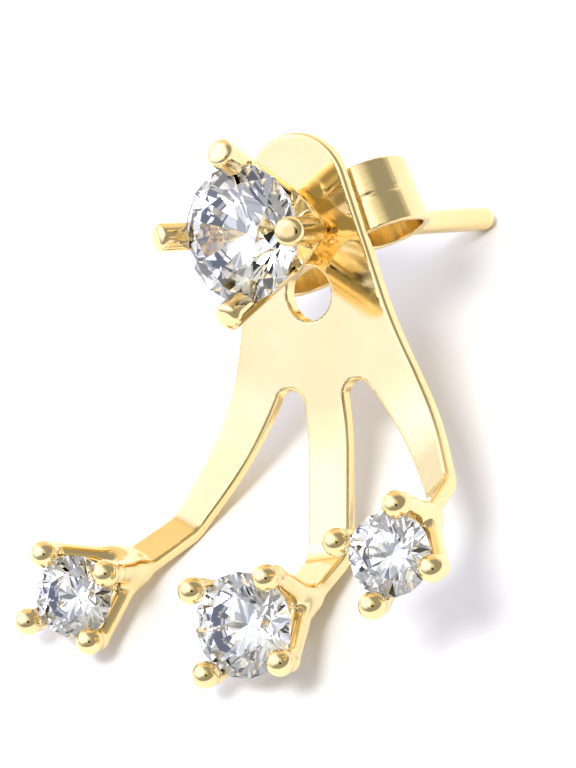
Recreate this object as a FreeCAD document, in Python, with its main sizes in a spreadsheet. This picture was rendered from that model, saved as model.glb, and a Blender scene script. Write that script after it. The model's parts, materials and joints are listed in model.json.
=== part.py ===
import FreeCAD, Part
import math
import os

# Ear jacket earring: a stud whose post goes through a plate with three fingers, held by an ear nut.
# Every piece is drawn in the worn frame: X to the viewer's right, Y from the face backwards, Z up.
# That frame's origin lies on the post's axis, at the front face of the jacket's plate.
# One rest placement then lays the whole earring on its back, as it lies on a table.

doc = FreeCAD.newDocument("ear_jacket_earring")
sheet = doc.addObject("Spreadsheet::Sheet", "dimensions")

DIMENSIONS = [
    # Jacket plate, in millimetres
    ("plate_thickness", 0.55),
    ("plate_top_height", 3.55),
    ("plate_top_radius", 2.3),
    ("shoulder_half_width", 3.67),
    ("shoulder_drop", 4.59),
    ("shoulder_radius", 16),
    ("crotch_offset", 1.57),
    ("crotch_drop", 6.35),
    ("crotch_radius", 0.65),
    ("post_hole_radius", 0.55),
    ("lower_hole_radius", 1.0),
    ("lower_hole_drop", 2.33),
    # Middle finger
    ("middle_half_width", 0.92),
    ("middle_end_half_width", 0.95),
    ("middle_crease_drop", 11.8),
    ("middle_lean_drop", 6.4),
    ("middle_lean_angle", 13),
    ("middle_bend_angle", 61),
    ("middle_strip_length", 3.1),
    # Side fingers
    ("side_spread_angle", 31),
    ("side_crease_offset", 5.75),
    ("side_crease_drop", 9.95),
    ("side_half_width", 0.635),
    ("side_end_half_width", 0.72),
    ("side_lean_drop", 6.1),
    ("side_lean_angle", 27),
    ("side_bend_angle", 63),
    ("side_strip_length", 3.5),
    # Bends of all three fingers, at the front face
    ("lean_radius", 9),
    ("crease_radius", 1.0),
    # Stones and their places
    ("main_stone_diameter", 5.0),
    ("main_stone_forward", 3.3),
    ("middle_stone_diameter", 3.8),
    ("middle_stone_forward", 6.25),
    ("middle_stone_drop", 13.85),
    ("side_stone_diameter", 3.0),
    ("side_stone_offset", 7.2),
    ("side_stone_forward", 6.75),
    ("side_stone_drop", 12.05),
    ("middle_facing_angle", 10),
    ("right_facing_angle", 18),
    ("left_facing_angle", 14),
    ("stone_gap", 0.04),
    # Claws of the three small stones
    ("claw_root_radius", 0.46),
    ("claw_root_spread", 0.42),
    ("claw_root_step", 0.12),
    ("claw_neck_radius", 0.4),
    ("stem_root_radius", 0.36),
    ("stem_tip_radius", 0.42),
    ("bead_radius", 0.5),
    ("bead_forward", 0.65),
    ("middle_claw_circle", 2.13),
    ("middle_claw_angle", 47),
    ("side_claw_circle", 1.79),
    ("side_claw_angle", 68),
    # Stud
    ("post_radius", 0.45),
    ("post_end", 11.8),
    ("head_back", 0.12),
    ("head_front", 0.78),
    ("head_back_radius", 0.85),
    ("head_front_radius", 1.5),
    ("prong_root_circle", 1.12),
    ("prong_root_forward", 0.6),
    ("prong_root_radius", 0.5),
    ("prong_tip_circle", 2.88),
    ("prong_tip_forward", 4.3),
    ("prong_tip_radius", 0.54),
    ("prong_turn", -6),
    # Ear nut
    ("nut_gap", 0.06),
    ("nut_thickness", 0.28),
    ("nut_height", 2.5),
    ("nut_half_width", 3.43),
    ("nut_hole_radius", 0.5),
    ("scroll_inner_offset", 0.52),
    ("scroll_radius", 1.375),
    ("scroll_stretch", 0.45),
    ("scroll_end_angle", 215),
    ("nut_turn", -18),
    # How the whole earring lies
    ("rest_tilt", -44.73),
    ("rest_roll", -18.93),
]
for row, (alias, value) in enumerate(DIMENSIONS, start=1):
    sheet.set(f"A{row}", alias.replace("_", " "))
    sheet.set(f"B{row}", str(value))
    sheet.setAlias(f"B{row}", alias)
doc.recompute()

RIGHT = FreeCAD.Vector(1, 0, 0)
BACK = FreeCAD.Vector(0, 1, 0)
FRONT = FreeCAD.Vector(0, -1, 0)
UP = FreeCAD.Vector(0, 0, 1)
PROFILE_REACH = 9


def size(alias):
    return float(sheet.get(alias))


def point(x, y, z):
    return FreeCAD.Vector(x, y, z)


def arc(start, through, end):
    return Part.Arc(start, through, end).toShape()


def line(start, end):
    return Part.LineSegment(start, end).toShape()


def feature(name, shape):
    piece = doc.addObject("Part::Feature", name)
    piece.Shape = shape
    return piece


def fuse(name, pieces):
    union = doc.addObject("Part::MultiFuse", name)
    union.Shapes = pieces
    union.Refine = True
    return union


def cut(name, base, tool):
    difference = doc.addObject("Part::Cut", name)
    difference.Base = base
    difference.Tool = tool
    return difference


def cylinder(name, start, direction, radius, height):
    solid = doc.addObject("Part::Cylinder", name)
    solid.setExpression("Radius", radius)
    solid.setExpression("Height", height)
    solid.Placement = FreeCAD.Placement(start, FreeCAD.Rotation(UP, direction))
    return solid


def rod(name, start, end, start_radius, end_radius):
    solid = doc.addObject("Part::Cone", name)
    solid.setExpression("Radius1", start_radius)
    solid.setExpression("Radius2", end_radius)
    solid.Height = (end - start).Length
    solid.Placement = FreeCAD.Placement(start, FreeCAD.Rotation(UP, end - start))
    return solid


def rounded_rod(name, start, end, start_radius, end_radius):
    """A rod between two points, turned in one piece with a ball-shaped nose at both ends."""
    near, far, length = size(start_radius), size(end_radius), (end - start).Length
    slant = math.sqrt(0.5)
    profile = [
        arc(point(0, 0, -near), point(near * slant, 0, -near * slant), point(near, 0, 0)),
        line(point(near, 0, 0), point(far, 0, length)),
        arc(point(far, 0, length), point(far * slant, 0, length + far * slant),
            point(0, 0, length + far)),
        line(point(0, 0, length + far), point(0, 0, -near)),
    ]
    piece = feature(name, Part.Face(Part.Wire(profile)).revolve(point(0, 0, 0), UP, 360))
    piece.Placement = FreeCAD.Placement(start, FreeCAD.Rotation(UP, end - start))
    return piece


def ball(name, centre, radius):
    solid = doc.addObject("Part::Sphere", name)
    solid.setExpression("Radius", radius)
    solid.Placement = FreeCAD.Placement(centre, FreeCAD.Rotation())
    return solid


# Round brilliant stones, cut as a table, crown, girdle and pavilion

TABLE_SHARE = 0.56
CROWN_SHARE = 0.155
GIRDLE_SHARE = 0.03
PAVILION_SHARE = 0.43
LOWER_FACET_REACH = 0.22
SIDES = 8
EIGHTH = 2 * math.pi / SIDES


def ring(radius, height, count, turn=0.0):
    step = 2 * math.pi / count
    return [point(radius * math.cos(turn + k * step), radius * math.sin(turn + k * step), height)
            for k in range(count)]


def brilliant(diameter):
    """A faceted stone about Z: the girdle's lower edge at height 0, the table upwards."""
    radius = diameter / 2
    half = math.cos(EIGHTH / 2)
    table_radius = TABLE_SHARE * radius
    girdle_top = GIRDLE_SHARE * diameter
    crown = CROWN_SHARE * diameter
    depth = PAVILION_SHARE * diameter
    star_radius = (table_radius * half + radius) / 2
    star_height = girdle_top + crown * (radius - star_radius * half) / (radius - table_radius)
    lower_radius = LOWER_FACET_REACH * radius
    lower_height = -depth * (1 - lower_radius * half / radius)
    table = ring(table_radius, girdle_top + crown, SIDES)
    star = ring(star_radius, star_height, SIDES, EIGHTH / 2)
    upper = ring(radius, girdle_top, 2 * SIDES)
    lower = ring(radius, 0, 2 * SIDES)
    belly = ring(lower_radius, lower_height, SIDES, EIGHTH / 2)
    culet = point(0, 0, -depth)
    facets = [table]
    for k in range(SIDES):
        after = (k + 1) % SIDES
        main, mid, side = 2 * k, 2 * k + 1, (2 * k + 2) % (2 * SIDES)
        facets.append([table[k], star[k], table[after]])
        facets.append([table[k], star[k - 1], upper[main], star[k]])
        facets.append([star[k], upper[main], upper[mid]])
        facets.append([star[k], upper[mid], upper[side]])
        facets.append([upper[main], lower[main], lower[mid], upper[mid]])
        facets.append([upper[mid], lower[mid], lower[side], upper[side]])
        facets.append([lower[main], belly[k], lower[mid]])
        facets.append([lower[mid], belly[k], lower[side]])
        facets.append([lower[main], belly[k - 1], culet, belly[k]])
    faces = [Part.Face(Part.makePolygon(facet + facet[:1])) for facet in facets]
    return Part.makeSolid(Part.makeShell(faces))


def seat_cutter(diameter):
    """The room that a setting leaves round its stone, turned about the stone's axis."""
    gap = size("stone_gap")
    radius = diameter / 2
    girdle_top = GIRDLE_SHARE * diameter
    table_height = girdle_top + CROWN_SHARE * diameter
    depth = PAVILION_SHARE * diameter
    pavilion_run = gap * math.hypot(radius, depth) / radius
    outline = [
        point(0, 0, -depth - pavilion_run),
        point(radius + gap, 0, -pavilion_run + gap * depth / radius),
        point(radius + gap, 0, girdle_top + gap / 2),
        point(TABLE_SHARE * radius + gap, 0, table_height + gap),
        point(0, 0, table_height + gap),
    ]
    face = Part.Face(Part.makePolygon(outline + outline[:1]))
    return face.revolve(point(0, 0, 0), UP, 360)


def facing(angle):
    """A setting's turn to the viewer's right, away from facing straight ahead."""
    return FreeCAD.Rotation(UP, size(angle) if angle else 0)


def stone_place(centre, angle):
    return FreeCAD.Placement(centre, facing(angle) * FreeCAD.Rotation(UP, FRONT))


def stone(name, diameter, centre, angle=None):
    piece = feature(name, brilliant(size(diameter)))
    piece.Placement = stone_place(centre, angle)
    return piece


def seat(name, diameter, centre, angle=None):
    piece = feature(name, seat_cutter(size(diameter)))
    piece.Placement = stone_place(centre, angle)
    return piece


MAIN_CENTRE = point(0, -size("main_stone_forward"), 0)
MIDDLE_CENTRE = point(0, -size("middle_stone_forward"), -size("middle_stone_drop"))


def side_centre(hand):
    """Centre of a side stone's girdle: hand is 1 on the right and -1 on the left."""
    return point(hand * size("side_stone_offset"), -size("side_stone_forward"), -size("side_stone_drop"))


# Jacket: the front outline of the plate and its three fingers

def tangent_point(outside, centre, radius):
    """Where a line from a point below touches a circle's right side in the XZ plane."""
    to_centre = centre - outside
    reach = math.sqrt(to_centre.Length ** 2 - radius ** 2)
    turn = math.degrees(math.asin(radius / to_centre.Length))
    direction = FreeCAD.Rotation(BACK, turn).multVec(to_centre).normalize()
    return outside + direction * reach


def side_axes(hand=1):
    """A side finger's run down the plate, and its width across, both in the XZ plane."""
    spread = math.radians(size("side_spread_angle"))
    run = point(hand * math.sin(spread), 0, -math.cos(spread))
    return run, point(hand * math.cos(spread), 0, math.sin(spread))


def shoulder_arc(upper, corner, lower):
    """Start, middle and end of the large arc that rounds the shoulder's corner."""
    up_side = (upper - corner).normalize()
    down_side = (lower - corner).normalize()
    half_angle = up_side.getAngle(down_side) / 2
    radius = size("shoulder_radius")
    run = radius / math.tan(half_angle)
    inward = (up_side + down_side).normalize()
    middle = corner + inward * (radius / math.sin(half_angle) - radius)
    return corner + up_side * run, middle, corner + down_side * run


def half_outline():
    """Edges of the right half, from the plate's top to the middle finger's end."""
    top_radius = size("plate_top_radius")
    top_centre = point(0, 0, size("plate_top_height") - top_radius)
    run, across = side_axes()
    crease = point(size("side_crease_offset"), 0, -size("side_crease_drop"))
    corner = point(size("shoulder_half_width"), 0, -size("shoulder_drop"))
    outer_crease = crease + across * size("side_half_width")
    inner_crease = crease - across * size("side_half_width")
    outer_end = crease + run * size("side_strip_length") + across * size("side_end_half_width")
    inner_end = crease + run * size("side_strip_length") - across * size("side_end_half_width")
    neck = tangent_point(corner, top_centre, top_radius)
    rounded = shoulder_arc(neck, corner, outer_crease)
    crotch = point(size("crotch_offset"), 0, -size("crotch_drop"))
    crotch_radius = size("crotch_radius")
    inner_start = tangent_point(inner_crease, crotch, crotch_radius)
    crotch_top = crotch + UP * crotch_radius
    crotch_side = point(crotch.x - crotch_radius, 0, crotch.z)
    crown_turn = FreeCAD.Rotation(BACK, 40)
    crown = top_centre + crown_turn.multVec(UP) * top_radius
    top = top_centre + UP * top_radius
    middle_crease = point(size("middle_half_width"), 0, -size("middle_crease_drop"))
    middle_end = point(size("middle_end_half_width"), 0,
                       -size("middle_crease_drop") - size("middle_strip_length"))
    return [
        arc(top, crown, neck),
        line(neck, rounded[0]),
        arc(*rounded),
        line(rounded[2], outer_crease),
        line(outer_crease, outer_end),
        line(outer_end, inner_end),
        line(inner_end, inner_crease),
        line(inner_crease, inner_start),
        arc(inner_start, crotch_top, crotch_side),
        line(crotch_side, middle_crease),
        line(middle_crease, middle_end),
        line(middle_end, point(0, 0, middle_end.z)),
    ]


def front_outline():
    right = half_outline()
    left = [edge.mirror(point(0, 0, 0), RIGHT) for edge in right]
    return Part.Face(Part.Wire(Part.__sortEdges__(right + left)))


# Jacket: the bends of a finger, drawn from the side

class Bends:
    """A finger's side profile: a soft lean, then the crease, then the strip that reaches forward."""

    def __init__(self, finger, run, crease_drop):
        self.run = run
        self.bend = math.radians(size(finger + "_bend_angle"))
        lean = math.radians(size(finger + "_lean_angle"))
        crease_radius = size("crease_radius")
        self.radii = size("lean_radius"), crease_radius
        self.lean_start = size(finger + "_lean_drop")
        self.lean_angles = 0, lean / 2, lean
        self.crease_angles = lean, (lean + self.bend) / 2, self.bend
        self.lean_centre = run * self.lean_start + FRONT * self.radii[0]
        lean_end = self.lean_centre + self.backward(lean) * self.radii[0]
        reach = (crease_drop - lean_end.dot(run)) / math.cos(lean)
        crease = lean_end + self.heading(lean) * reach
        run_in = crease_radius * math.tan((self.bend - lean) / 2)
        self.crease_centre = crease - self.heading(lean) * run_in - self.backward(lean) * crease_radius
        self.strip_end = crease + self.heading(self.bend) * size(finger + "_strip_length")

    def heading(self, angle):
        return self.run * math.cos(angle) + FRONT * math.sin(angle)

    def backward(self, angle):
        return BACK * math.cos(angle) + self.run * math.sin(angle)

    def edges(self, depth):
        """The profile's line at a depth behind the front face."""
        leaning = [self.lean_centre + self.backward(angle) * (self.radii[0] + depth)
                   for angle in self.lean_angles]
        creasing = [self.crease_centre + self.backward(angle) * (self.radii[1] + depth)
                    for angle in self.crease_angles]
        end = self.strip_end + self.backward(self.bend) * depth
        return [arc(*leaning), line(leaning[2], creasing[0]), arc(*creasing), line(creasing[2], end)]

    def face(self):
        thickness = size("plate_thickness")
        front, rear = self.edges(0), self.edges(thickness)
        root = line(self.run * self.lean_start, self.run * self.lean_start + BACK * thickness)
        end = line(self.strip_end, self.strip_end + self.backward(self.bend) * thickness)
        return Part.Face(Part.Wire(Part.__sortEdges__(front + rear + [root, end])))

    def root_of_claws(self):
        """The middle of the strip's thickness, a little before its end."""
        inside = self.strip_end - self.heading(self.bend) * size("claw_root_radius")
        return inside + self.backward(self.bend) * size("plate_thickness") / 2


def extrusion(name, face, direction, forward, backward="0"):
    solid = doc.addObject("Part::Extrusion", name)
    solid.Base = feature(name + "_face", face)
    solid.DirMode = "Custom"
    solid.Dir = direction
    solid.Solid = True
    solid.setExpression("LengthFwd", forward)
    solid.setExpression("LengthRev", backward)
    return solid


def finger(name, bends, across, inner, outer):
    """The part of the front outline's prism that follows a finger's bends."""
    face = bends.face()
    face.translate(across * inner)
    bar = extrusion(name + "_bar", face, across, str(outer - inner))
    common = doc.addObject("Part::MultiCommon", name)
    common.Shapes = [prism, bar]
    return common


def below_root(name, bends, across, inner, outer):
    """The block of the flat plate that a bent finger takes the place of."""
    corner = bends.run * bends.lean_start
    sides = [corner + across * inner, corner + across * outer]
    deep = bends.run * PROFILE_REACH
    loop = [sides[0], sides[1], sides[1] + deep, sides[0] + deep, sides[0]]
    face = Part.Face(Part.makePolygon(loop))
    return extrusion(name, face, BACK, "2 * dimensions.plate_thickness", "dimensions.plate_thickness")


def mirror(name, source):
    twin = doc.addObject("Part::Mirroring", name)
    twin.Source = source
    twin.Normal = RIGHT
    return twin


RUN, ACROSS = side_axes()
LEFT_RUN, LEFT_ACROSS = side_axes(-1)
side_crease = point(size("side_crease_offset"), 0, -size("side_crease_drop")).dot(RUN)
middle_bends = Bends("middle", UP * -1, size("middle_crease_drop"))
side_bends = Bends("side", RUN, side_crease)
left_bends = Bends("side", LEFT_RUN, side_crease)

MIDDLE_BAND = -1.2, 1.2
SIDE_BAND = -1.9, 2.4
outline = front_outline()
prism = extrusion("front_prism", outline, FRONT, str(PROFILE_REACH), "dimensions.plate_thickness")
slab = extrusion("flat_slab", outline, FRONT, "0", "dimensions.plate_thickness")
right_room = below_root("right_room", side_bends, ACROSS, *SIDE_BAND)
rooms = [
    below_root("middle_room", middle_bends, RIGHT, *MIDDLE_BAND),
    right_room,
    mirror("left_room", right_room),
]
flat_plate = cut("flat_plate", slab, fuse("finger_rooms", rooms))
middle_finger = finger("middle_finger", middle_bends, RIGHT, *MIDDLE_BAND)
right_finger = finger("right_finger", side_bends, ACROSS, *SIDE_BAND)
left_finger = mirror("left_finger", right_finger)
sheet_metal = fuse("bent_sheet", [flat_plate, middle_finger, right_finger, left_finger])

through_plate = "3 * dimensions.plate_thickness"
hole_start = FRONT * size("plate_thickness")
lower_start = hole_start - UP * size("lower_hole_drop")
post_hole = cylinder("post_hole", hole_start, BACK, "dimensions.post_hole_radius", through_plate)
lower_hole = cylinder("lower_hole", lower_start, BACK, "dimensions.lower_hole_radius", through_plate)
pierced_sheet = cut("pierced_sheet", sheet_metal, fuse("plate_holes", [post_hole, lower_hole]))


def claws(name, sizes, centre, hand, angle, bends, across):
    """Four claws that fan out from a strip's end, each with a bead over the stone's edge."""
    root, turn = bends.root_of_claws(), facing(angle)
    pieces = []
    for k in range(4):
        place = math.radians(size(sizes + "_claw_angle") + 90 * k)
        outward = turn.multVec(RIGHT * hand * math.cos(place) + UP * math.sin(place))
        neck = centre + outward * size(sizes + "_claw_circle")
        tip = neck + turn.multVec(FRONT) * size("bead_forward")
        spread = math.copysign(size("claw_root_spread"), outward.dot(across))
        step = math.copysign(size("claw_root_step"), outward.z)
        start = root + across * spread - bends.heading(bends.bend) * step
        label = f"{name}_{k + 1}"
        pieces += [
            rounded_rod(label + "_arm", start, neck, "claw_root_radius", "claw_neck_radius"),
            rod(label + "_stem", neck, tip, "dimensions.stem_root_radius", "dimensions.stem_tip_radius"),
            ball(label + "_bead", tip, "dimensions.bead_radius"),
        ]
    return pieces


RIGHT_CENTRE, LEFT_CENTRE = side_centre(1), side_centre(-1)
middle_claws = claws("middle_claw", "middle", MIDDLE_CENTRE, 1, "middle_facing_angle", middle_bends, RIGHT)
right_claws = claws("right_claw", "side", RIGHT_CENTRE, 1, "right_facing_angle", side_bends, ACROSS)
left_claws = claws("left_claw", "side", LEFT_CENTRE, -1, "left_facing_angle", left_bends, LEFT_ACROSS)
metal = fuse("jacket_metal", [pierced_sheet] + middle_claws + right_claws + left_claws)
seats = fuse("jacket_seats", [
    seat("middle_seat", "middle_stone_diameter", MIDDLE_CENTRE, "middle_facing_angle"),
    seat("right_seat", "side_stone_diameter", RIGHT_CENTRE, "right_facing_angle"),
    seat("left_seat", "side_stone_diameter", LEFT_CENTRE, "left_facing_angle"),
])
jacket = cut("jacket", metal, seats)


# Stud: post, cup and four prongs, soldered into one piece

def stud_prongs():
    pieces = []
    for k in range(4):
        angle = math.radians(size("prong_turn") + 90 * k)
        outward = RIGHT * math.cos(angle) + UP * math.sin(angle)
        root = outward * size("prong_root_circle") + FRONT * size("prong_root_forward")
        tip = outward * size("prong_tip_circle") + FRONT * size("prong_tip_forward")
        pieces.append(rounded_rod(f"prong_{k + 1}", root, tip, "prong_root_radius", "prong_tip_radius"))
    return pieces


post = rounded_rod("post", FRONT * size("head_back"), BACK * (size("post_end") - size("post_radius")),
                   "post_radius", "post_radius")
cup = rod("cup", FRONT * size("head_back"), FRONT * size("head_front"),
          "dimensions.head_back_radius", "dimensions.head_front_radius")
stud_metal = fuse("stud_metal", [post, cup] + stud_prongs())
stud = cut("stud", stud_metal, seat("main_seat", "main_stone_diameter", MAIN_CENTRE))


# Ear nut: one strip with a hole, its two ends rolled into scrolls

def polar(centre, radius, degrees):
    angle = math.radians(degrees)
    return centre + point(radius * math.cos(angle), radius * math.sin(angle), 0)


def scroll_edges(depth):
    """The right-hand scroll's line in plan, at a depth from the strip's middle line."""
    thickness = size("nut_thickness")
    first = size("scroll_radius")
    second = size("nut_half_width") - size("scroll_inner_offset") - thickness - first
    middle = size("plate_thickness") + size("nut_gap") + thickness / 2
    turn = point(size("nut_half_width") - thickness / 2 - first, middle + first, 0)
    rear = turn + BACK * size("scroll_stretch")
    inner = rear + BACK * (first - second)
    end = size("scroll_end_angle")
    wide, tight = first + depth, second + depth
    return [
        line(point(0, middle - depth, 0), polar(turn, wide, -90)),
        arc(polar(turn, wide, -90), polar(turn, wide, -45), polar(turn, wide, 0)),
        line(polar(turn, wide, 0), polar(rear, wide, 0)),
        arc(polar(rear, wide, 0), polar(rear, wide, 45), polar(rear, wide, 90)),
        arc(polar(inner, tight, 90), polar(inner, tight, (90 + end) / 2), polar(inner, tight, end)),
    ]


def nut_outline():
    half = size("nut_thickness") / 2
    outside, inside = scroll_edges(half), scroll_edges(-half)
    tip = line(outside[-1].Vertexes[-1].Point, inside[-1].Vertexes[-1].Point)
    right = outside + inside + [tip]
    left = [edge.mirror(point(0, 0, 0), RIGHT) for edge in right]
    return Part.Face(Part.Wire(Part.__sortEdges__(right + left)))


nut_strip = extrusion("nut_strip", nut_outline(), UP, "dimensions.nut_height / 2",
                      "dimensions.nut_height / 2")
nut_hole = cylinder("nut_hole", point(0, 0, 0), BACK, "dimensions.nut_hole_radius",
                    "dimensions.post_end")
ear_nut = cut("ear_nut", nut_strip, nut_hole)
ear_nut.Placement = FreeCAD.Placement(point(0, 0, 0), FreeCAD.Rotation(BACK, size("nut_turn")))


# Stones

main_stone = stone("main_stone", "main_stone_diameter", MAIN_CENTRE)
middle_stone = stone("middle_stone", "middle_stone_diameter", MIDDLE_CENTRE, "middle_facing_angle")
right_stone = stone("right_stone", "side_stone_diameter", RIGHT_CENTRE, "right_facing_angle")
left_stone = stone("left_stone", "side_stone_diameter", LEFT_CENTRE, "left_facing_angle")

doc.recompute()
nodes = [jacket, stud, ear_nut, main_stone, middle_stone, right_stone, left_stone]

# Lay the earring down: every piece gets the same turn, then the same lift

lying = FreeCAD.Rotation(BACK, size("rest_roll")) * FreeCAD.Rotation(RIGHT, size("rest_tilt"))


def laid(own, lift):
    """A piece's placement in the worn frame, carried into the lying frame."""
    return FreeCAD.Placement(lift, lying) * own


own_places = [node.Placement for node in nodes]
box = FreeCAD.BoundBox()
for node, own in zip(nodes, own_places):
    trial = node.Shape.copy()
    trial.Placement = laid(own, point(0, 0, 0))
    box.add(trial.optimalBoundingBox(False, False))
lift = point(-box.Center.x, -box.Center.y, -box.ZMin)
for node, own in zip(nodes, own_places):
    node.Placement = laid(own, lift)
    node.Label = node.Name
doc.recompute()

# Check every object, then write the pieces

for item in doc.Objects:
    if "Invalid" in item.State or "Error" in item.State:
        raise SystemExit(f"{item.Name} failed: {item.State}")
os.makedirs("parts", exist_ok=True)
for node in nodes:
    shape = node.Shape
    if shape.isNull() or not shape.isValid():
        raise SystemExit(f"{node.Label} has no valid shape")
    shape.exportStep(f"parts/{node.Label}.step")
    extent = shape.optimalBoundingBox(False, False)
    print(f"{node.Label}: {shape.Volume:.2f} mm3, {len(shape.Solids)} solid, "
          f"x {extent.XMin:.2f} to {extent.XMax:.2f}, y {extent.YMin:.2f} to {extent.YMax:.2f}, "
          f"z {extent.ZMin:.2f} to {extent.ZMax:.2f}")
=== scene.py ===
import json
import math

import bpy
import numpy as np
from mathutils import Matrix, Vector


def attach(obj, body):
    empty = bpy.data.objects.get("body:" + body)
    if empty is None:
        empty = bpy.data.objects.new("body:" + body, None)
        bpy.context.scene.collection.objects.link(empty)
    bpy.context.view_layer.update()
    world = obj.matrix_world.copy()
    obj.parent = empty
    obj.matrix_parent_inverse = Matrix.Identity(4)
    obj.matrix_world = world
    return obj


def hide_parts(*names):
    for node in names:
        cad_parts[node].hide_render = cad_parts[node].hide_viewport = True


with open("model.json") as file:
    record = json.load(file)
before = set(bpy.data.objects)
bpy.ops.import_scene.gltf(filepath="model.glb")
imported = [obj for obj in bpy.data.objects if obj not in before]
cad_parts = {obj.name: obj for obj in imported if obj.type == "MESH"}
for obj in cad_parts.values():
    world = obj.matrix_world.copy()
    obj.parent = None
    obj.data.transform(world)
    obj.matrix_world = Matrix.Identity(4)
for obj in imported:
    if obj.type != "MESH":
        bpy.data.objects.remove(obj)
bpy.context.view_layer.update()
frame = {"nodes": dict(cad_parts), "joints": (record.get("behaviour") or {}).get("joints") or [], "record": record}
nodes = frame["nodes"]
record = frame["record"]

MM = 0.001

# Sizes in millimetres and degrees, as in the part's own source, with the roundings and fillets of solder that
# it leaves out: edge, blend, join and web are how wide they are. Places are X to the right, Y back and Z up
# from the post, and FACING is how far a small setting is turned to the viewer's right.

PLATE = {"thickness": 0.55, "top": 3.55, "top_radius": 2.3, "shoulder": (3.67, -4.59),
         "shoulder_radius": 16, "crotch": (1.57, -6.35), "crotch_radius": 0.65, "post_hole": 0.55,
         "lower_hole": 1.0, "lower_hole_drop": 2.33, "edge": 0.15, "hole_edge": 0.09}
LEAN_RADIUS = 9
CREASE_RADIUS = 1.0
MIDDLE = {"spread": 0, "crease": (0, -11.8), "half_width": 0.92, "end_half_width": 0.95,
          "lean_drop": 6.4, "lean": 13, "bend": 61, "strip": 3.1, "stone": (0, -6.25, -13.85),
          "diameter": 3.8, "circle": 2.13, "claw_angle": 47, "band": (-1.2, 1.2)}
SIDE = {"spread": 31, "crease": (5.75, -9.95), "half_width": 0.635, "end_half_width": 0.72,
        "lean_drop": 6.1, "lean": 27, "bend": 63, "strip": 3.5, "stone": (7.2, -6.75, -12.05),
        "diameter": 3.0, "circle": 1.79, "claw_angle": 68, "band": (-1.9, 2.4)}
FACING = {"middle": 10, "right": 18, "left": 14}
CLAW = {"root": 0.46, "neck": 0.4, "stem_tip": 0.42, "bead": 0.5, "bead_forward": 0.65,
        "spread": 0.42, "step": 0.12, "blend": 0.3, "web": 0.6, "join": 0.1, "reach": 2.5}
HEAD = {"stone": (0, -3.3, 0), "diameter": 5.0, "back": 0.12, "front": 0.78, "back_radius": 0.85,
        "front_radius": 1.5, "root_circle": 1.12, "root_forward": 0.6, "root_radius": 0.5,
        "tip_circle": 2.88, "tip_forward": 4.3, "tip_radius": 0.54, "turn": -6, "blend": 0.3,
        "tip_flat": 0.3, "tip_bevel": 0.18, "edge": 0.1}
POST = {"radius": 0.45, "end": 11.8, "join": 0.05}
NUT = {"gap": 0.06, "thickness": 0.28, "height": 2.5, "half_width": 3.43, "hole": 0.5, "inner": 0.52,
       "radius": 1.375, "stretch": 0.45, "end_angle": 215, "edge": 0.07, "turn": 18,
       "groove": 0.03, "groove_width": 0.09, "hole_depth": 1.2}
SHARES = {"table": 0.56, "crown": 0.155, "girdle": 0.03, "pavilion": 0.43}
STONE_GAP = 0.04
SEAT_EDGE = 0.03

# A finger's strip starts well above its lean, and is joined to the plate this far above it
STRIP_START = -9
STRIP_OVERLAP = 0.5

# The meshing grid: its cell, how many cells a block has, and how near the surface has to be to a block's
# middle, in blocks, for the block to be worked out in full
CELL = 0.1
NUT_CELL = 0.7 * CELL
BLOCK = 4
BLOCK_REACH = 0.95
FAR = 1e9
TINY = 1e-12

# The worn frame (X to the viewer's right, Y backwards, Z up, origin on the post at the plate's face)
# is found from the record: the post's axis, and the place of the plate's lower hole.


def worn_frame():
    swivel = next(joint for joint in frame["joints"] if joint["name"] == "head_swivel")
    hole = next(mount for mount in record["mounts"] if mount["name"] == "lower_hole")
    origin = Vector(swivel["pos_m"])
    back = -Vector(swivel["axis"]).normalized()
    middle = origin + back * (PLATE["thickness"] * MM / 2)
    up = (middle - Vector(hole["pos_m"])).normalized()
    right = back.cross(up).normalized()
    turn = Matrix((right, back, up)).transposed()
    return Matrix.Translation(origin) @ turn.to_4x4()


WORN = worn_frame()


def add_object(name, data):
    made = bpy.data.objects.new(name, data)
    bpy.context.scene.collection.objects.link(made)
    return made


# Camera: the photograph's angle to the earring

AZIMUTH = math.radians(38)
ELEVATION = math.radians(-1.7)
ROLL = math.radians(7.8)
LENS = 250
FRAME_HEIGHT = 27.5 * MM
AIM = Vector((0.55, -2.6, -5.55)) * MM
CLIP_SPAN = 100


def add_camera():
    back = Vector((math.sin(AZIMUTH) * math.cos(ELEVATION),
                   -math.cos(AZIMUTH) * math.cos(ELEVATION), math.sin(ELEVATION)))
    right = Vector((math.cos(AZIMUTH), math.sin(AZIMUTH), 0))
    up = back.cross(right)
    tilted_right = right * math.cos(ROLL) - up * math.sin(ROLL)
    tilted_up = right * math.sin(ROLL) + up * math.cos(ROLL)
    data = bpy.data.cameras.new("camera")
    data.lens = LENS
    distance = FRAME_HEIGHT * LENS / data.sensor_width
    data.clip_start, data.clip_end = distance / CLIP_SPAN, distance * CLIP_SPAN
    camera = add_object("camera", data)
    turn = Matrix((tilted_right, tilted_up, back)).transposed().to_4x4()
    camera.matrix_world = WORN @ Matrix.Translation(AIM + back * distance) @ turn
    bpy.context.scene.camera = camera


add_camera()

# Smooth solids: each gold piece is a distance field in the worn frame, in millimetres,
# meshed by surface nets and then pulled onto the exact surface


def spot(*values):
    return np.array(values, float)


def smooth_union(a, b, blend):
    """The union of two fields, with a soldered fillet about as wide as the blend."""
    share = np.clip(0.5 + 0.5 * (b - a) / blend, 0, 1)
    return b + (a - b) * share - blend * share * (1 - share)


def round_overlap(a, b, radius):
    """The overlap of two fields, with its edges rounded."""
    outside = np.hypot(np.maximum(a + radius, 0), np.maximum(b + radius, 0))
    return np.minimum(np.maximum(a, b), -radius) + outside


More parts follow.
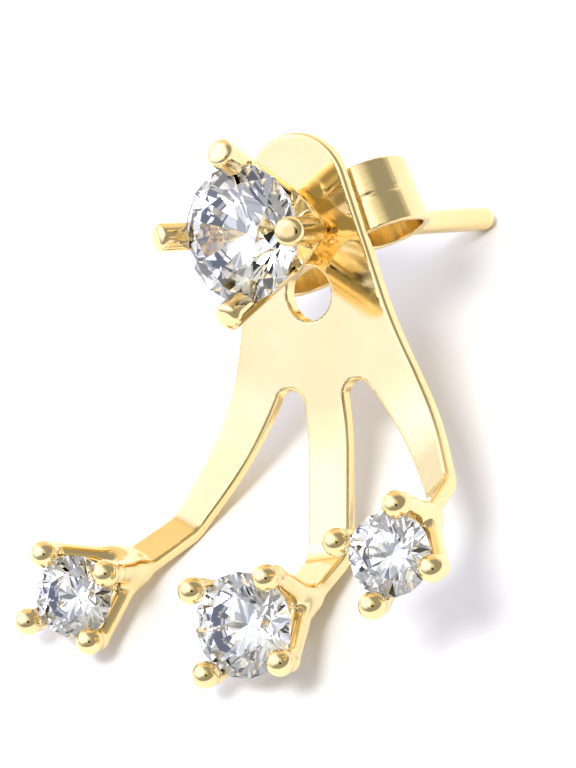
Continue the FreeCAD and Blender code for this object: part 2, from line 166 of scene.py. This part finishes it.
def rod_field(p, start, end, start_radius, end_radius):
    """A tapered rod with ball noses."""
    along = end - start
    share = np.clip((p - start) @ along / (along @ along), 0, 1)
    nearest = start + share[:, None] * along
    return np.linalg.norm(p - nearest, axis=1) - (start_radius + share * (end_radius - start_radius))


def line_distance(flat, path):
    """Distance from points in a plane to a path of short straight pieces."""
    best = np.full(len(flat), FAR)
    for start, end in zip(path[:-1], path[1:]):
        along = end - start
        away = flat - start
        share = np.clip(away @ along / max(along @ along, TINY), 0, 1)
        best = np.minimum(best, np.square(away - share[:, None] * along).sum(axis=1))
    return np.sqrt(best)


def inside_outline(flat, loop):
    """True where a point lies inside a closed loop."""
    inside = np.zeros(len(flat), bool)
    for start, end in zip(loop, np.roll(loop, -1, axis=0)):
        crosses = (start[1] > flat[:, 1]) != (end[1] > flat[:, 1])
        rise = end[1] - start[1] if end[1] != start[1] else TINY
        where = start[0] + (flat[:, 1] - start[1]) / rise * (end[0] - start[0])
        inside ^= crosses & (flat[:, 0] < where)
    return inside


def outline_field(flat, loop):
    gap = line_distance(flat, np.vstack([loop, loop[:1]]))
    return np.where(inside_outline(flat, loop), -gap, gap)


def sample_field(field, low, high, cell):
    """A field's values on a grid, exact near the surface and one for each block elsewhere."""
    blocks = np.ceil((high - low) / (cell * BLOCK)).astype(int)
    centres = low + cell * BLOCK * (np.argwhere(np.ones(blocks, bool)) + 0.5)
    coarse = field(centres)
    near = np.abs(coarse) < cell * BLOCK * BLOCK_REACH
    values = coarse.reshape(blocks).repeat(BLOCK, 0).repeat(BLOCK, 1).repeat(BLOCK, 2)
    steps = np.argwhere(np.ones((BLOCK,) * 3, bool))
    fine = (np.argwhere(near.reshape(blocks))[:, None] * BLOCK + steps).reshape(-1, 3)
    values[tuple(fine.T)] = field(low + cell * fine)
    return values


def net_points(values):
    """One point in each cell that the surface crosses, counted in cells, and the points' numbers."""
    corners = [(i, j, k) for i in (0, 1) for j in (0, 1) for k in (0, 1)]
    cells = np.array(values.shape) - 1

    def corner(offset):
        return values[tuple(slice(o, o + c) for o, c in zip(offset, cells))]

    signs = sum((corner(offset) < 0).astype(np.int8) for offset in corners)
    mixed = (signs > 0) & (signs < len(corners))
    number = np.full(cells, -1, np.int64)
    number[mixed] = np.arange(mixed.sum())
    where = np.argwhere(mixed)
    total, hits = np.zeros((len(where), 3)), np.zeros(len(where))
    for a in range(8):
        for b in range(a + 1, 8):
            first, second = np.array(corners[a]), np.array(corners[b])
            if np.abs(first - second).sum() != 1:
                continue
            va, vb = (corner(corners[c])[mixed].astype(float) for c in (a, b))
            cut = (va < 0) != (vb < 0)
            share = np.where(cut, va / np.where(cut, va - vb, 1), 0)
            total += np.where(cut[:, None], first + share[:, None] * (second - first), 0)
            hits += cut
    return where + total / hits[:, None], number


def net_quads(values, number):
    """One quad round each grid edge that the surface crosses, facing out of the metal."""
    quads = []
    inner = values[1:-1, 1:-1, 1:-1]
    for axis in range(3):
        take = [slice(1, -1)] * 3
        take[axis] = slice(2, None)
        ahead = values[tuple(take)]
        change = (inner < 0) != (ahead < 0)
        spots = np.argwhere(change) + 1
        leaving = inner[change] < 0
        u, v = np.eye(3, dtype=int)[(axis + 1) % 3], np.eye(3, dtype=int)[(axis + 2) % 3]
        around = [number[tuple((spots - step).T)] for step in (u + v, v, 0 * u, u)]
        quad = np.column_stack(around)
        quad[~leaving] = quad[~leaving][:, ::-1]
        quads.append(quad)
    return np.vstack(quads)


def surface_nets(field, low, high, cell):
    """Points and quads over a field's zero surface inside a box."""
    values = sample_field(field, low, high, cell)
    points, number = net_points(values)
    return low + cell * points, net_quads(values, number)


def slope(field, p, step=0.004):
    sides = [field(p + step * axis) - field(p - step * axis) for axis in np.eye(3)]
    gradient = np.column_stack(sides)
    return gradient / np.maximum(np.linalg.norm(gradient, axis=1), TINY)[:, None]


def arc_points(centre, radius, first, last, count=24):
    """Points round an arc in a plane; angles in degrees from the first axis."""
    angles = np.radians(np.linspace(first, last, count))
    return np.array(centre, float) + radius * np.column_stack([np.cos(angles), np.sin(angles)])


def angle_to(centre, place):
    return math.degrees(math.atan2(place[1] - centre[1], place[0] - centre[0]))


def touch_point(outside, centre, radius):
    """Where a line from a point below touches a circle's right side."""
    to_centre = np.array(centre, float) - outside
    length = np.hypot(*to_centre)
    turn = -math.asin(radius / length)
    c, s = math.cos(turn), math.sin(turn)
    heading = np.array([[c, -s], [s, c]]) @ to_centre
    return outside + heading / length * math.sqrt(length ** 2 - radius ** 2)


def shoulder_arc(corner, neck, outer):
    """The hollow curve that rounds the plate's corner between its neck and its side finger."""
    radius = PLATE["shoulder_radius"]
    up_side = (neck - corner) / np.linalg.norm(neck - corner)
    down_side = (outer - corner) / np.linalg.norm(outer - corner)
    half = math.acos(up_side @ down_side) / 2
    inward = (up_side + down_side) / np.linalg.norm(up_side + down_side)
    centre = corner + inward * radius / math.sin(half)
    bend_in = corner + up_side * radius / math.tan(half)
    bend_out = corner + down_side * radius / math.tan(half)
    return arc_points(centre, radius, angle_to(centre, bend_in) % 360, angle_to(centre, bend_out) % 360, 16)


def plate_loop():
    """The plate's front outline in X and Z, with its three fingers."""
    spread = math.radians(SIDE["spread"])
    run = np.array([math.sin(spread), -math.cos(spread)])
    across = np.array([math.cos(spread), math.sin(spread)])
    crease = np.array(SIDE["crease"])
    outer = crease + across * SIDE["half_width"]
    inner = crease - across * SIDE["half_width"]
    end = crease + run * SIDE["strip"]
    top_centre = np.array([0, PLATE["top"] - PLATE["top_radius"]])
    corner = np.array(PLATE["shoulder"])
    neck = touch_point(corner, top_centre, PLATE["top_radius"])
    crotch = np.array(PLATE["crotch"])
    leave = touch_point(inner, crotch, PLATE["crotch_radius"])
    half_loop = np.vstack([
        arc_points(top_centre, PLATE["top_radius"], 90, angle_to(top_centre, neck), 30),
        shoulder_arc(corner, neck, outer),
        [outer, end + across * SIDE["end_half_width"], end - across * SIDE["end_half_width"], inner],
        arc_points(crotch, PLATE["crotch_radius"], angle_to(crotch, leave), 180, 16),
        [(MIDDLE["half_width"], MIDDLE["crease"][1]),
         (MIDDLE["end_half_width"], MIDDLE["crease"][1] - MIDDLE["strip"])],
    ])
    return np.vstack([half_loop, half_loop[:0:-1] * (-1, 1)])


def upright_turn(degrees):
    """A turn to the viewer's right, about the upright axis."""
    c, s = math.cos(math.radians(degrees)), math.sin(math.radians(degrees))
    return np.array([[c, -s, 0], [s, c, 0], [0, 0, 1]])


def down_strip(angle):
    """The way a leaning strip runs, in a finger's side plane: down and back."""
    return spot(math.cos(angle), -math.sin(angle))


def out_of_rear(angle):
    return spot(math.sin(angle), math.cos(angle))


class Finger:
    """A finger's bends in its own side plane, and the claws at its end."""

    def __init__(self, sizes, facing, hand=1):
        spread = math.radians(sizes["spread"])
        self.sizes, self.hand, self.turn = sizes, hand, upright_turn(facing)
        self.run = spot(hand * math.sin(spread), 0, -math.cos(spread))
        self.across = spot(hand * math.cos(spread), 0, math.sin(spread))
        lean, bend = math.radians(sizes["lean"]), math.radians(sizes["bend"])
        crease_run = spot(hand * sizes["crease"][0], 0, sizes["crease"][1]) @ self.run
        start = sizes["lean_drop"]
        middle = PLATE["thickness"] / 2
        lean_centre = spot(start, -LEAN_RADIUS)
        lean_end = lean_centre + out_of_rear(lean) * LEAN_RADIUS
        crease = lean_end + down_strip(lean) * (crease_run - lean_end[0]) / math.cos(lean)
        run_in = CREASE_RADIUS * math.tan((bend - lean) / 2)
        crease_centre = crease - down_strip(lean) * run_in - out_of_rear(lean) * CREASE_RADIUS
        end = crease + down_strip(bend) * sizes["strip"] + out_of_rear(bend) * middle
        degrees = 90 - np.array([0, sizes["lean"], sizes["bend"]])
        self.path = np.vstack([
            [(STRIP_START, middle)],
            arc_points(lean_centre, LEAN_RADIUS + middle, degrees[0], degrees[1], 14),
            arc_points(crease_centre, CREASE_RADIUS + middle, degrees[1], degrees[2], 14),
            [end],
        ])
        root = end - down_strip(bend) * CLAW["root"]
        self.root = self.run * root[0] + spot(0, root[1], 0)
        self.heading = self.run * math.cos(bend) + spot(0, -math.sin(bend), 0)
        self.centre = spot(hand * sizes["stone"][0], *sizes["stone"][1:])

    def room(self, p, start):
        """Negative inside the finger's own stretch of the outline."""
        low, high = self.sizes["band"]
        width = p @ self.across
        return np.maximum(np.maximum(low - width, width - high), start - p @ self.run)

    def band(self, p):
        gap = line_distance(np.column_stack([p @ self.run, p[:, 1]]), self.path)
        return gap - PLATE["thickness"] / 2

    def claws(self, p):
        """Four claws, soldered together where they leave the strip."""
        forward = self.turn @ spot(0, -1, 0)
        field = np.full(len(p), FAR)
        for k in range(4):
            place = math.radians(self.sizes["claw_angle"] + 90 * k)
            outward = self.turn @ spot(self.hand * math.cos(place), 0, math.sin(place))
            neck = self.centre + outward * self.sizes["circle"]
            tip = neck + forward * CLAW["bead_forward"]
            side = math.copysign(CLAW["spread"], outward @ self.across)
            start = self.root + self.across * side - self.heading * math.copysign(CLAW["step"], outward[2])
            arm = rod_field(p, start, neck, CLAW["root"], CLAW["neck"])
            stem = rod_field(p, neck, tip, CLAW["neck"], CLAW["stem_tip"])
            bead = np.linalg.norm(p - tip, axis=1) - CLAW["bead"]
            claw = smooth_union(smooth_union(arm, stem, CLAW["join"]), bead, CLAW["join"])
            field = smooth_union(field, claw, CLAW["web"])
        return field

    def set_stone(self, p, metal):
        """The metal with this finger's claws added and its stone's room taken out."""
        near = np.linalg.norm(p - self.centre, axis=1) < self.sizes["strip"] + CLAW["reach"]
        local = p[near]
        claws = smooth_union(metal[near], self.claws(local), CLAW["blend"])
        own = (local - self.centre) @ self.turn
        metal[near] = round_overlap(claws, -seat_field(own, self.sizes["diameter"]), SEAT_EDGE)
        return metal


def seat_field(own, diameter):
    """The room a setting leaves for its stone, in the stone's own frame."""
    radius, table = diameter / 2, SHARES["table"] * diameter / 2
    girdle, crown = SHARES["girdle"] * diameter, SHARES["crown"] * diameter
    depth = SHARES["pavilion"] * diameter
    out = np.hypot(own[:, 0], own[:, 2])
    high = -own[:, 1]
    pavilion = ((out - radius) * depth - high * radius) / math.hypot(radius, depth)
    rise = ((out - radius) * crown + (high - girdle) * (radius - table)) / math.hypot(crown, radius - table)
    return np.maximum.reduce([pavilion, rise, out - radius, high - girdle - crown]) - STONE_GAP


FINGERS = [
    Finger(MIDDLE, FACING["middle"]),
    Finger(SIDE, FACING["right"]),
    Finger(SIDE, FACING["left"], hand=-1),
]
OUTLINE = plate_loop()


def jacket_field(p):
    """The plate with its flat fingers cut off, then bent fingers, holes, claws and stone seats."""
    thickness = PLATE["thickness"]
    outline = outline_field(p[:, [0, 2]], OUTLINE)
    slab = np.abs(p[:, 1] - thickness / 2) - thickness / 2
    metal = round_overlap(slab, outline, PLATE["edge"])
    for finger in FINGERS:
        metal = np.maximum(metal, -finger.room(p, finger.sizes["lean_drop"]))
    for finger in FINGERS:
        start = finger.sizes["lean_drop"] - STRIP_OVERLAP
        strip = round_overlap(finger.band(p), outline, PLATE["edge"])
        metal = np.minimum(metal, np.maximum(strip, finger.room(p, start)))
    for radius, drop in ((PLATE["post_hole"], 0), (PLATE["lower_hole"], PLATE["lower_hole_drop"])):
        hole = radius - np.hypot(p[:, 0], p[:, 2] + drop)
        metal = round_overlap(metal, hole, PLATE["hole_edge"])
    for finger in FINGERS:
        metal = finger.set_stone(p, metal)
    return metal


def stud_field(p):
    """The cup, the post, four prongs with flat-cut tips, and the stone's seat."""
    out = np.hypot(p[:, 0], p[:, 2])
    forward = -p[:, 1]
    span = HEAD["front"] - HEAD["back"]
    share = (forward - HEAD["back"]) / span
    radius = HEAD["back_radius"] + share * (HEAD["front_radius"] - HEAD["back_radius"])
    lean = math.hypot(span, HEAD["front_radius"] - HEAD["back_radius"]) / span
    ends = np.maximum(HEAD["back"] - forward, forward - HEAD["front"])
    metal = round_overlap((out - radius) / lean, ends, HEAD["edge"])
    post_start, post_end = spot(0, -HEAD["back"], 0), spot(0, POST["end"] - POST["radius"], 0)
    post = rod_field(p, post_start, post_end, POST["radius"], POST["radius"])
    metal = smooth_union(metal, post, POST["join"])
    for k in range(4):
        turn = math.radians(HEAD["turn"] + 90 * k)
        outward = spot(math.cos(turn), 0, math.sin(turn))
        root = outward * HEAD["root_circle"] - spot(0, HEAD["root_forward"], 0)
        tip = outward * HEAD["tip_circle"] - spot(0, HEAD["tip_forward"], 0)
        prong = rod_field(p, root, tip, HEAD["root_radius"], HEAD["tip_radius"])
        along = (tip - root) / np.linalg.norm(tip - root)
        prong = round_overlap(prong, (p - tip) @ along - HEAD["tip_flat"], HEAD["tip_bevel"])
        metal = smooth_union(metal, prong, HEAD["blend"])
    return round_overlap(metal, -seat_field(p - spot(*HEAD["stone"]), HEAD["diameter"]), SEAT_EDGE)


def nut_path():
    """The strip's middle line in plan: the base and the two scrolls."""
    first = NUT["radius"]
    second = NUT["half_width"] - NUT["inner"] - NUT["thickness"] - first
    base = PLATE["thickness"] + NUT["gap"] + NUT["thickness"] / 2
    turn = np.array([NUT["half_width"] - NUT["thickness"] / 2 - first, base + first])
    rear = turn + (0, NUT["stretch"])
    inner = rear + (0, first - second)
    half = np.vstack([
        arc_points(turn, first, -90, 0),
        arc_points(rear, first, 0, 90),
        arc_points(inner, second, 90, NUT["end_angle"], 30),
    ])
    return np.vstack([half[::-1] * (-1, 1), half])


NUT_PATH = nut_path()


def nut_field(p):
    """The strip with a faint groove at half its height, turned on the post."""
    turn = math.radians(NUT["turn"])
    x = p[:, 0] * math.cos(turn) + p[:, 2] * math.sin(turn)
    z = p[:, 2] * math.cos(turn) - p[:, 0] * math.sin(turn)
    gap = line_distance(np.column_stack([x, p[:, 1]]), NUT_PATH)
    groove = NUT["groove"] * np.exp(-np.square(z / NUT["groove_width"]))
    ends = np.abs(z) - NUT["height"] / 2
    strip = round_overlap(gap - NUT["thickness"] / 2 + groove, ends, NUT["edge"])
    hole = np.where(p[:, 1] < NUT["hole_depth"], NUT["hole"] - np.hypot(x, z), -1.0)
    return round_overlap(strip, hole, NUT["edge"])


# Each piece's box in the worn frame, a little larger than the piece
JACKET_BOX = ((-10.1, -9.0, -16.9), (10.1, 0.8, 3.9))
STUD_BOX = ((-3.6, -5.0, -3.6), (3.6, 12.1, 3.6))
NUT_BOX = ((-3.9, 0.4, -3.2), (3.9, 4.4, 3.2))
PULLS = 3


def metal_piece(name, field, box, cell, node, body):
    """Meshes a field, pulls its points onto the surface and puts it in the CAD node's place."""
    points, quads = surface_nets(field, spot(*box[0]), spot(*box[1]), cell)
    inward = -slope(field, points)
    for _ in range(PULLS):
        points += field(points)[:, None] * inward
    turn = np.array(WORN.to_3x3())
    normals = slope(field, points) @ turn.T
    mesh = bpy.data.meshes.new(name)
    mesh.from_pydata((points * MM).tolist(), [], quads.tolist())
    mesh.transform(WORN)
    mesh.shade_smooth()
    mesh.normals_split_custom_set_from_vertices(normals.tolist())
    piece = add_object(name, mesh)
    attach(piece, body)
    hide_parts(node)
    return piece


jacket = metal_piece("jacket_metal", jacket_field, JACKET_BOX, CELL, "jacket", "jacket_body")
stud = metal_piece("stud_metal", stud_field, STUD_BOX, CELL, "stud", "stud_body")
nut = metal_piece("nut_metal", nut_field, NUT_BOX, NUT_CELL, "ear_nut", "nut_body")

# Materials: the tones of gold, the painted fire in the stones, and how many features of each pattern lie in a
# millimetre

GOLD_TONES = [
    (0.3, (0.94, 0.725, 0.34, 1)),
    (0.5, (0.955, 0.75, 0.375, 1)),
    (0.7, (0.965, 0.775, 0.415, 1)),
]
# Painted fire: faint warm tints laid over the colourless stones, standing in for coloured glints of light
PAINTED_FIRE_TINTS = [
    (0.0, (0.98, 0.98, 0.99, 1)),
    (0.3, (1, 0.99, 0.97, 1)),
    (0.6, (1, 0.99, 0.97, 1)),
    (1.0, (1.0, 0.95, 0.88, 1)),
]
TONE_PER_MM = 0.35
WEAR_PER_MM = 2.5
# How many cells of painted fire lie in a millimetre
PAINTED_FIRE_PER_MM = 1.6
STONE_IOR = 2.15


def blank_material(name, **sockets):
    made = bpy.data.materials.new(name)
    made.use_nodes = True
    shader = made.node_tree.nodes["Principled BSDF"]
    for socket, value in sockets.items():
        shader.inputs[socket.replace("_", " ")].default_value = value
    return made, made.node_tree, shader


def add_node(tree, kind, **inputs):
    made = tree.nodes.new(kind)
    for socket, value in inputs.items():
        made.inputs[socket.replace("_", " ")].default_value = value
    return made


def surface_noise(tree, per_mm, detail=2.0):
    """Noise fixed to the piece."""
    place = add_node(tree, "ShaderNodeTexCoord")
    noise = add_node(tree, "ShaderNodeTexNoise", Scale=per_mm / MM, Detail=detail)
    tree.links.new(place.outputs["Object"], noise.inputs["Vector"])
    return noise.outputs["Fac"]


def spread_over(tree, factor, low, high):
    """Maps the middle of a noise to a range of numbers."""
    ramp = add_node(tree, "ShaderNodeMapRange", From_Min=0.3, From_Max=0.7, To_Min=low, To_Max=high)
    tree.links.new(factor, ramp.inputs["Value"])
    return ramp.outputs["Result"]


def blend_colours(tree, factor, stops):
    ramp = add_node(tree, "ShaderNodeValToRGB")
    first, last = ramp.color_ramp.elements
    (first.position, first.color), (last.position, last.color) = stops[0], stops[-1]
    for position, colour in stops[1:-1]:
        ramp.color_ramp.elements.new(position).color = colour
    tree.links.new(factor, ramp.inputs["Fac"])
    return ramp.outputs["Color"]


def add_bump(tree, shader, height, depth):
    """Depth is the bump's height in metres."""
    bump = add_node(tree, "ShaderNodeBump", Strength=1.0, Distance=depth)
    tree.links.new(height, bump.inputs["Height"])
    tree.links.new(bump.outputs["Normal"], shader.inputs["Normal"])


def gold_plate(name, smooth, rough, bump_depth, bump_per_mm):
    """Pale yellow gold plate with slight unevenness left by polishing."""
    made, tree, shader = blank_material(name, Metallic=1.0)
    tone = blend_colours(tree, surface_noise(tree, TONE_PER_MM), GOLD_TONES)
    tree.links.new(tone, shader.inputs["Base Color"])
    wear = surface_noise(tree, WEAR_PER_MM, detail=4.0)
    tree.links.new(spread_over(tree, wear, smooth, rough), shader.inputs["Roughness"])
    add_bump(tree, shader, surface_noise(tree, bump_per_mm), bump_depth)
    return made


def cut_stone(name):
    """Colourless cut stone, with painted fire: faint warm tints, cell by cell, that stand in for the coloured
    glints of light from one facet to the next.
    """
    made, tree, shader = blank_material(name, Roughness=0.0, IOR=STONE_IOR, Transmission_Weight=1.0)
    place = add_node(tree, "ShaderNodeTexCoord")
    # Painted fire: each cell, about a facet wide, gets a faint warm tint that stands in for a coloured glint of
    # light
    cells = add_node(tree, "ShaderNodeTexVoronoi", Scale=PAINTED_FIRE_PER_MM / MM)
    tree.links.new(place.outputs["Object"], cells.inputs["Vector"])
    split = add_node(tree, "ShaderNodeSeparateColor")
    tree.links.new(cells.outputs["Color"], split.inputs["Color"])
    painted_fire = blend_colours(tree, split.outputs["Red"], PAINTED_FIRE_TINTS)
    tree.links.new(painted_fire, shader.inputs["Base Color"])
    return made


def dress(node, made):
    slots = nodes[node].data.materials
    slots.clear()
    slots.append(made)


polished = gold_plate("pale_gold", smooth=0.07, rough=0.13, bump_depth=2.0e-6, bump_per_mm=1.2)
satin = gold_plate("satin_gold", smooth=0.16, rough=0.26, bump_depth=1.5e-6, bump_per_mm=6)
jacket.data.materials.append(polished)
stud.data.materials.append(polished)
nut.data.materials.append(satin)
stone_glass = cut_stone("cut_stone")
for name in ("main_stone", "middle_stone", "right_stone", "left_stone"):
    dress(name, stone_glass)

# Floor and light

FLOOR_SIZE = 2.0
SUN_TOWARDS = (0.043, -0.427, 0.903)
SUN_POWER = 1.9
SUN_ANGLE = 16

# The studio all round: a lobe is its direction, where it fades from and to, and the light it adds
STUDIO_BASE = (0.37, 0.37, 0.37)
STUDIO_LOBES = [
    ((-0.60, -0.25, 0.76), 0.60, 0.93, (0.85, 0.97, 1.42)),
    ((-0.95, 0.15, 0.25), 0.80, 0.97, (0.50, 0.55, 0.70)),
    ((-0.40, 0.82, 0.25), 0.55, 0.95, (0.75, 0.55, 0.30)),
    ((0.36, 0.93, 0.05), 0.88, 0.99, (0.50, 0.48, 0.45)),
    ((0.10, -0.40, 0.91), 0.80, 0.97, (0.55, 0.55, 0.50)),
    ((0.40, -0.58, 0.71), 0.975, 0.992, (-0.70, -0.70, -0.70)),
]


def add_floor():
    bpy.ops.mesh.primitive_plane_add(size=FLOOR_SIZE)
    floor = bpy.context.object
    floor.name = "floor"
    made, _, _ = blank_material("floor_white", Base_Color=(0.93, 0.93, 0.93, 1), Roughness=0.7)
    floor.data.materials.append(made)


def add_sun():
    """The key light. The metal mirrors the studio alone, because the sun would turn a flat face white."""
    data = bpy.data.lights.new("key", "SUN")
    data.energy = SUN_POWER
    data.angle = math.radians(SUN_ANGLE)
    light = add_object("key", data)
    light.rotation_mode = "QUATERNION"
    light.rotation_quaternion = Vector(SUN_TOWARDS).to_track_quat("Z", "Y")
    light.visible_glossy = False


def add_studio():
    world = bpy.data.worlds.new("studio")
    world.use_nodes = True
    tree = world.node_tree
    place = add_node(tree, "ShaderNodeTexCoord")
    base = add_node(tree, "ShaderNodeCombineXYZ", **dict(zip("XYZ", STUDIO_BASE)))
    total = base.outputs["Vector"]
    for towards, first, last, added in STUDIO_LOBES:
        dot = add_node(tree, "ShaderNodeVectorMath")
        dot.operation = "DOT_PRODUCT"
        dot.inputs[1].default_value = Vector(towards).normalized()
        tree.links.new(place.outputs["Generated"], dot.inputs[0])
        fade = add_node(tree, "ShaderNodeMapRange", From_Min=first, From_Max=last)
        fade.interpolation_type = "SMOOTHSTEP"
        tree.links.new(dot.outputs["Value"], fade.inputs["Value"])
        lobe = add_node(tree, "ShaderNodeVectorMath")
        lobe.operation = "MULTIPLY_ADD"
        lobe.inputs[0].default_value = added
        tree.links.new(fade.outputs["Result"], lobe.inputs[1])
        tree.links.new(total, lobe.inputs[2])
        total = lobe.outputs["Vector"]
    background = tree.nodes["Background"]
    background.inputs["Strength"].default_value = 1.0
    tree.links.new(total, background.inputs["Color"])
    bpy.context.scene.world = world


add_floor()
add_sun()
add_studio()
bpy.context.scene.view_settings.view_transform = "Standard"
